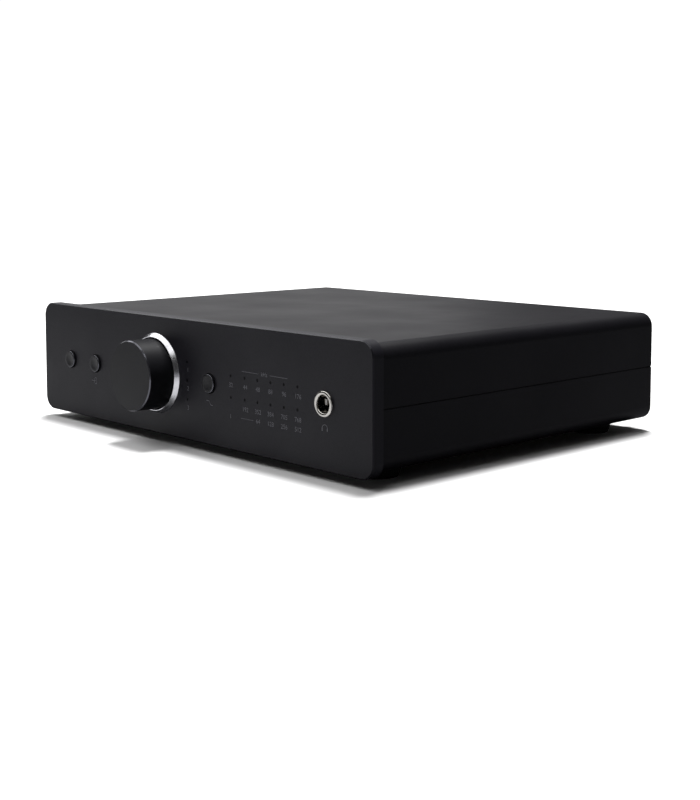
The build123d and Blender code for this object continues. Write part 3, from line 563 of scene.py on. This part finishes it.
cap_front, stem_end = (side.y * 1000 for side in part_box("standby_button"))
cap_r, rim, collar_r, stem_r = 3.65, 0.3, 4.6, 1.6
collar_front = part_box("front_panel")[1].y * 1000 + 0.05
dish_r, dish_depth = cap_r - 0.9, 0.25
cap_profile = [(stem_r, stem_end), (stem_r, collar_front + 1), (collar_r, collar_front + 1),
               (collar_r, collar_front), (cap_r, collar_front), (cap_r, cap_front + rim)]
cap_profile += [(cap_r - rim + rim * math.cos(math.radians(a)), cap_front + rim - rim * math.sin(math.radians(a)))
                for a in (18, 36, 54, 72, 90)]
cap_profile += [(dish_r * step / 8, cap_front + dish_depth * (1 - (step / 8) ** 2)) for step in range(8, 0, -1)]
for button, cap_x in (("standby", -85.15), ("source", -65.2), ("filter", 16.0)):
    cap = lathe(button + "_cap", cap_x, mid_z * 1000, cap_profile)
    cap.data.materials.append(cap_anodised)
    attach(cap, button + "_key")
    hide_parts(button + "_button")


# Volume knob: turned from bar and anodised black. Its face keeps very fine lathe rings
# round the axis, drawn a third of a millimetre apart so that they show.
knob_x, knob_z = -0.0202, 0.0281


def lathe_rings(parts, spacing_mm, wander, strength, relief_mm):
    """Rings left by a lathe tool about the knob's axis, over the grain of the finish."""
    tree = parts["tree"]
    centred = add(tree, "Mapping", {"Vector": parts["here"].outputs["Object"], "Location": (-knob_x, 0, -knob_z)})
    rings = add(tree, "TexWave", {"Vector": centred.outputs[0], "Scale": per_metre(spacing_mm) / 20,
                                  "Distortion": wander},
                wave_type="RINGS", rings_direction="Y", wave_profile="SIN")
    ringed = add(tree, "Bump", {"Height": rings.outputs["Fac"], "Strength": strength,
                                "Distance": relief_mm / 1000, "Normal": parts["skin"].outputs[0]})
    tree.links.new(ringed.outputs[0], parts["shader"].inputs["Normal"])


turned_black, parts = finish("turned_black_anodised_aluminium", "#131316", "#1b1b1f", 0.28, 0.01, (0.38, 0.46),
                             Specular_IOR_Level=0.26)
lathe_rings(parts, 0.35, 0.0, 0.15, 0.02)
cut_chamfers(parts, "#6c6c73", 0.9)
paint(turned_black, "volume_knob")


# Trim ring round the knob: bare aluminium, its slope cut by a diamond tool. Bright, with
# faint rings from the tool.
diamond_cut, parts = finish("diamond_turned_bright_aluminium", "#dcdce0", "#e8e8ec", 2.0, 0.002, (0.2, 0.28),
                            Metallic=1.0)
lathe_rings(parts, 0.2, 0.3, 0.3, 0.01)
paint(diamond_cut, "knob_ring")


# Headphone socket bush: turned brass, nickel plated, with a domed lip. Behind it a leaf of the
# same plate bends into the bore to touch the plug.
jack_x, jack_z = 82.8, 27.7
front_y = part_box("front_panel")[0].y
lip_front, bush_end = (side.y * 1000 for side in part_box("headphone_bezel"))
bore_r, bush_r, lip_r = 3.25, 4.1, 4.75
lip_depth = 0.5
bush_profile = [(bore_r, bush_end)]
bush_profile += [((bore_r + lip_r) / 2 - (lip_r - bore_r) / 2 * math.cos(math.radians(a)),
                  lip_front + lip_depth - lip_depth * math.sin(math.radians(a))) for a in range(0, 181, 15)]
bush_profile += [(lip_r, front_y * 1000), (bush_r, front_y * 1000), (bush_r, bush_end), (bore_r, bush_end)]
bush = lathe("headphone_bush", jack_x, jack_z, bush_profile)
bush.data.materials.append(nickel)
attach(bush, "chassis")
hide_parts("headphone_bezel")

deselect()
bpy.ops.mesh.primitive_circle_add(vertices=48, radius=0.0009, fill_type="NOTHING",
                                  location=((jack_x - 3.2) / 1000, -0.0788, (jack_z - 1) / 1000))
leaf = bpy.context.object
bpy.ops.object.transform_apply(location=True, rotation=True, scale=True)
bpy.ops.object.mode_set(mode="EDIT")
bpy.ops.mesh.select_mode(type="VERT")
bpy.ops.mesh.select_all(action="DESELECT")
bpy.ops.object.mode_set(mode="OBJECT")
for vertex in leaf.data.vertices:
    vertex.select = vertex.co.x < (jack_x - 3.15) / 1000
bpy.ops.object.mode_set(mode="EDIT")
bpy.ops.mesh.delete(type="VERT")
bpy.ops.mesh.select_all(action="SELECT")
bpy.ops.mesh.extrude_region_move(TRANSFORM_OT_translate={"value": (0, 0, 0.0020)})
bpy.ops.object.mode_set(mode="OBJECT")
put_modifier(leaf, "SOLIDIFY", thickness=0.00015, offset=0)
bpy.ops.object.shade_smooth_by_angle(angle=math.radians(35))
join_pieces("headphone_contact_leaf", [leaf], nickel, "chassis")


# Front printing: pad printed ink in pale grey, two hundredths of a millimetre thick. It holds
# plain numbers under the light holes, short rules, and small pictures for the buttons and the socket.
grey_ink, parts = finish("pad_printed_ink_grey", "#77777d", "#85858b", 0.3, 0.004, (0.5, 0.6))
FILM = 0.00002
ink_y = front_y - FILM / 2
to_front = Matrix.Rotation(math.pi / 2, 4, "X")
to_rear = Matrix.Rotation(math.pi, 4, "Z") @ to_front


def lettering(text, place, height, facing):
    """Numbers printed at a place, with capitals of the given height in millimetres."""
    deselect()
    bpy.ops.object.text_add()
    printed = bpy.context.object
    printed.data.body = text
    printed.data.size = height / 700
    printed.data.align_x = "CENTER"
    printed.data.align_y = "CENTER"
    printed.data.resolution_u = 3
    printed.data.extrude = FILM / 2
    bpy.ops.object.convert(target="MESH")
    printed = bpy.context.object
    printed.matrix_world = Matrix.Translation(Vector(place)) @ facing
    bpy.ops.object.transform_apply(location=True, rotation=True, scale=True)
    return printed


def rule(start, end, width, y):
    """A printed line between two places given as (x, z) in millimetres."""
    run, rise = end[0] - start[0], end[1] - start[1]
    deselect()
    bpy.ops.mesh.primitive_cube_add(size=1, location=((start[0] + end[0]) / 2000, y, (start[1] + end[1]) / 2000),
                                    rotation=(0, -math.atan2(rise, run), 0),
                                    scale=((math.hypot(run, rise) + width) / 1000, FILM, width / 1000))
    bpy.ops.object.transform_apply(location=True, rotation=True, scale=True)
    return bpy.context.object


def loop_print(x, z, radius, width, y, keep=lambda c: True):
    """A printed ring, or the part of it that passes the test."""
    deselect()
    bpy.ops.mesh.primitive_circle_add(vertices=48, radius=radius / 1000, fill_type="NGON",
                                      location=(x / 1000, y, z / 1000), rotation=(math.pi / 2, 0, 0))
    ring = bpy.context.object
    bpy.ops.object.transform_apply(location=True, rotation=True, scale=True)
    bpy.ops.object.mode_set(mode="EDIT")
    bpy.ops.mesh.select_mode(type="FACE")
    bpy.ops.mesh.select_all(action="SELECT")
    bpy.ops.mesh.inset(thickness=width / 1000)
    bpy.ops.mesh.delete(type="FACE")
    face_centres(ring.data, lambda c, n: not keep((c.x * 1000 - x, c.z * 1000 - z)))
    bpy.ops.mesh.delete(type="FACE")
    bpy.ops.mesh.select_all(action="SELECT")
    bpy.ops.mesh.extrude_region_move(TRANSFORM_OT_translate={"value": (0, FILM / 2, 0)})
    bpy.ops.mesh.select_all(action="SELECT")
    bpy.ops.mesh.normals_make_consistent(inside=False)
    bpy.ops.object.mode_set(mode="OBJECT")
    return ring


RATE_X = (38.3, 45.8, 53.1, 60.9, 68.6)
prints = [lettering("32", (0.0296, ink_y, 0.0286), 1.75, to_front)]
for numbers, z in ((("44", "48", "88", "96", "176"), 28.6), (("192", "352", "384", "705", "768"), 20.1)):
    prints += [lettering(n, (x / 1000, ink_y, z / 1000), 1.75, to_front) for n, x in zip(numbers, RATE_X)]
prints += [lettering(n, (x / 1000, ink_y, 0.0165), 1.75, to_front)
           for n, x in zip(("64", "128", "256", "512"), RATE_X[1:])]
prints.append(lettering("1", (0.0293, ink_y, 0.0165), 1.75, to_front))
prints.append(rule((35.6, 16.6), (43.0, 16.6), 0.15, ink_y))
prints.append(lettering("kHz", (0.0495, ink_y, 0.0346), 1.6, to_front))
prints += [rule((36.3, 34.6), (46.2, 34.6), 0.15, ink_y), rule((52.8, 34.6), (62.7, 34.6), 0.15, ink_y)]
prints += [lettering(n, (0.0020, ink_y, z / 1000), 1.75, to_front)
           for n, z in (("1", 31.6), ("2", 24.2), ("3", 16.4))]
join_pieces("rate_numbers", prints, grey_ink, "chassis")

prints = [rule((-68.6, 20.1), (-65.9, 20.1), 0.22, ink_y), rule((-66.9, 21.0), (-65.9, 20.1), 0.22, ink_y),
          rule((-66.9, 19.2), (-65.9, 20.1), 0.22, ink_y), rule((-64.9, 21.4), (-64.9, 18.8), 0.22, ink_y),
          rule((-64.9, 21.4), (-66.0, 21.4), 0.22, ink_y), rule((-64.9, 18.8), (-66.0, 18.8), 0.22, ink_y)]
prints += [rule((14.0, 20.9), (15.8, 20.9), 0.22, ink_y), rule((15.8, 20.9), (16.9, 19.3), 0.22, ink_y),
           rule((16.9, 19.3), (17.9, 19.3), 0.22, ink_y)]
prints += [loop_print(83.0, 18.9, 1.5, 0.22, ink_y, lambda c: c[1] > 0)]
prints += [rule((81.65, 18.9), (81.65, 18.2), 0.5, ink_y), rule((84.35, 18.9), (84.35, 18.2), 0.5, ink_y)]
join_pieces("control_pictures", prints, grey_ink, "chassis")


# Rear printing: screened ink in white, with letters L and R, plain numbers, rules that group the
# sockets, arrows for in and out, and the polarity picture of the power socket.
white_ink, parts = finish("screen_printed_ink_white", "#bfbfbb", "#cfcfcb", 0.3, 0.004, (0.5, 0.6))
rear_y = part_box("rear_panel")[1].y + FILM / 2


def arrow(x, z, up, y):
    """A small printed arrow that points up, away from the socket, or down into it."""
    tip = z + (1.3 if up else -1.3)
    back = z - (1.3 if up else -1.3)
    step = -0.9 if up else 0.9
    return [rule((x, back), (x, tip), 0.3, y), rule((x, tip), (x - 0.9, tip + step), 0.3, y),
            rule((x, tip), (x + 0.9, tip + step), 0.3, y)]


prints = []
for text, x, z in (("L", 56, 46.0), ("R", 84, 46.0), ("L", 33, 33.4), ("R", 18, 33.4), ("5", 1.5, 33.4),
                   ("1", -16, 33.4), ("2", -30, 33.4), ("3", -46, 33.4), ("4", -60, 33.4), ("12 V", -73.5, 33.4)):
    prints.append(lettering(text, (x / 1000, rear_y, z / 1000), 2.4, to_rear))
prints += [rule((-66, 37.5), (-32, 37.5), 0.25, rear_y), rule((-27, 37.5), (7, 37.5), 0.25, rear_y),
           rule((-66, 37.5), (-66, 36.0), 0.25, rear_y), rule((7, 37.5), (7, 36.0), 0.25, rear_y),
           rule((12, 37.5), (22.5, 37.5), 0.25, rear_y), rule((28.5, 37.5), (39, 37.5), 0.25, rear_y),
           rule((12, 37.5), (12, 36.0), 0.25, rear_y), rule((39, 37.5), (39, 36.0), 0.25, rear_y)]
prints += arrow(-29.5, 38.0, False, rear_y) + arrow(25.5, 38.0, True, rear_y) + arrow(70.0, 46.0, True, rear_y)
prints += [loop_print(-73.5, 29.4, 1.0, 0.25, rear_y - FILM / 2),
           rule((-70.6, 29.4), (-72.5, 29.4), 0.25, rear_y),
           rule((-74.6, 29.4), (-76.4, 29.4), 0.25, rear_y), rule((-69.9, 29.4), (-68.9, 29.4), 0.25, rear_y),
           rule((-78.2, 29.4), (-77.2, 29.4), 0.25, rear_y), rule((-77.7, 29.9), (-77.7, 28.9), 0.25, rear_y)]
join_pieces("socket_printing", prints, white_ink, "chassis")
upper_face = Matrix.Rotation(math.radians(0.7), 4, "X") @ to_rear
lower_face = Matrix.Rotation(math.radians(15.3), 4, "X") @ to_rear
rocker_marks = [lettering("I", (-0.0890, 0.08641, 0.03211), 3.0, upper_face),
                lettering("O", (-0.0890, 0.08738, 0.02518), 3.0, lower_face)]
join_pieces("rocker_marks", rocker_marks, white_ink, "rocker")


# Serial label under the case: a thin polyester film with rounded corners, matt silver, with a
# printed row of plain bars.
label_film, parts = finish("matt_silver_polyester_film", "#a9abad", "#b9bbbd", 0.5, 0.004, (0.45, 0.55))
under_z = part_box("bottom_chassis")[0].z
deselect()
bpy.ops.mesh.primitive_cube_add(size=1, location=(0, 0.052, under_z - 0.00005), scale=(0.052, 0.020, 0.0001))
label = bpy.context.object
bpy.ops.object.transform_apply(location=True, rotation=True, scale=True)
bpy.ops.object.mode_set(mode="EDIT")
bpy.ops.mesh.select_mode(type="EDGE")
bpy.ops.mesh.select_all(action="DESELECT")
bpy.ops.object.mode_set(mode="OBJECT")
for edge in label.data.edges:
    first, second = (label.data.vertices[v].co for v in edge.vertices)
    edge.select = abs(first.z - second.z) > 0.00005
bpy.ops.object.mode_set(mode="EDIT")
bpy.ops.mesh.bevel(offset=0.002, segments=6, affect="EDGES")
bpy.ops.object.mode_set(mode="OBJECT")
join_pieces("serial_label", [label], label_film, "chassis")
black_ink, parts = finish("thermal_print_black", "#111113", "#19191b", 0.4, 0.002, (0.5, 0.6))
thin, middling, wide = 0.6, 1.1, 1.6
bars = []
at = -20.0
for step, bar in enumerate((thin, middling, thin, thin, wide, thin, middling, middling, thin, wide, thin, thin,
                            middling, thin, wide, thin, middling, thin)):
    deselect()
    bpy.ops.mesh.primitive_cube_add(size=1, location=((at + bar / 2) / 1000, 0.056, under_z - 0.00011),
                                    scale=(bar / 1000, 0.007, FILM))
    bpy.ops.object.transform_apply(location=True, rotation=True, scale=True)
    bars.append(bpy.context.object)
    at += bar + (0.9 if step % 3 else 1.6)
join_pieces("serial_label_bars", bars, black_ink, "chassis")
